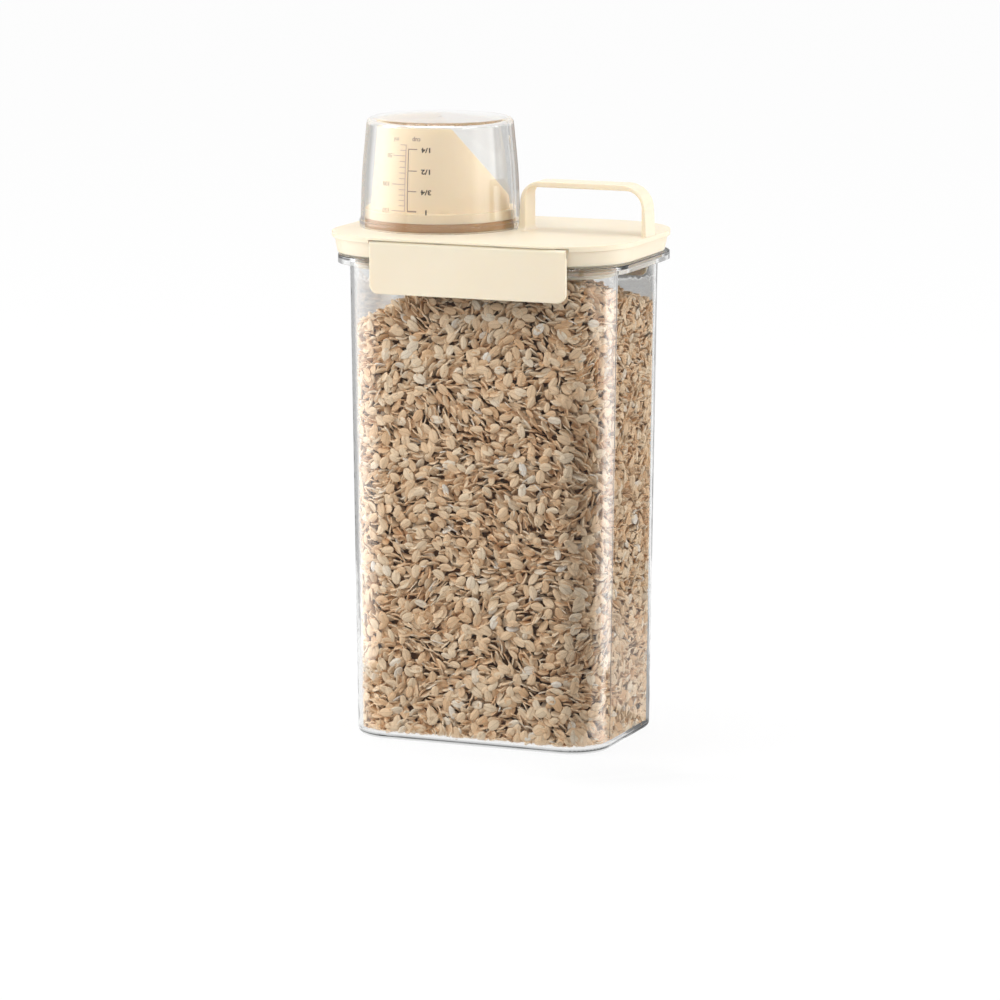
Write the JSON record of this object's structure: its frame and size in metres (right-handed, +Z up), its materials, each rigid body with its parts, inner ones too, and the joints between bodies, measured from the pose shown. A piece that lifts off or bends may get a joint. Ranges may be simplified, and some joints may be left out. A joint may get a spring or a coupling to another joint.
{
  "type": "grain canister with pour spout and measuring cup",
  "caption": "Clear upright dry-food canister with a cream snap lid, carrying loop, slanted pour spout and a clear measuring cup that caps the spout.",
  "frame": {"origin": "centre of the container's flat foot", "axes": "+X along the long side towards the carrying loop, the spout at -X; +Y to the back; +Z up"},
  "size_m": [0.1516, 0.111, 0.2943],
  "materials": {
    "clear_container": "clear rigid plastic, gloss",
    "clear_cup": "clear rigid plastic, gloss",
    "cream_plastic": "smooth satin polypropylene, cream",
    "silicone": "soft matt tan silicone"
  },
  "bodies": {
    "container": {"container": "clear_container"},
    "lid": {"lid_cover": "cream_plastic", "lid_liner": "cream_plastic", "lid_gasket": "silicone", "pour_spout": "cream_plastic", "spout_seal": "silicone"},
    "measuring_cup": {"measuring_cup": "clear_cup"},
    "front_latch": {"front_latch": "cream_plastic"},
    "rear_latch": {"rear_latch": "cream_plastic"}
  },
  "joints": [
    {"name": "lid_lift", "type": "slide", "parent": "container", "child": "lid", "axis": [0, 0, 1], "range_m": [0, 0.06]},
    {"name": "cup_lift", "type": "slide", "parent": "lid", "child": "measuring_cup", "axis": [0, 0, 1], "range_m": [0, 0.06]},
    {"name": "front_latch_hinge", "type": "hinge", "parent": "lid", "child": "front_latch", "pos_m": [0.0032, -0.0536, 0.23899], "axis": [-1, 0, 0], "range_deg": [0, 88]},
    {"name": "rear_latch_hinge", "type": "hinge", "parent": "lid", "child": "rear_latch", "pos_m": [0.0032, 0.0536, 0.23899], "axis": [1, 0, 0], "range_deg": [0, 88]}
  ]
}
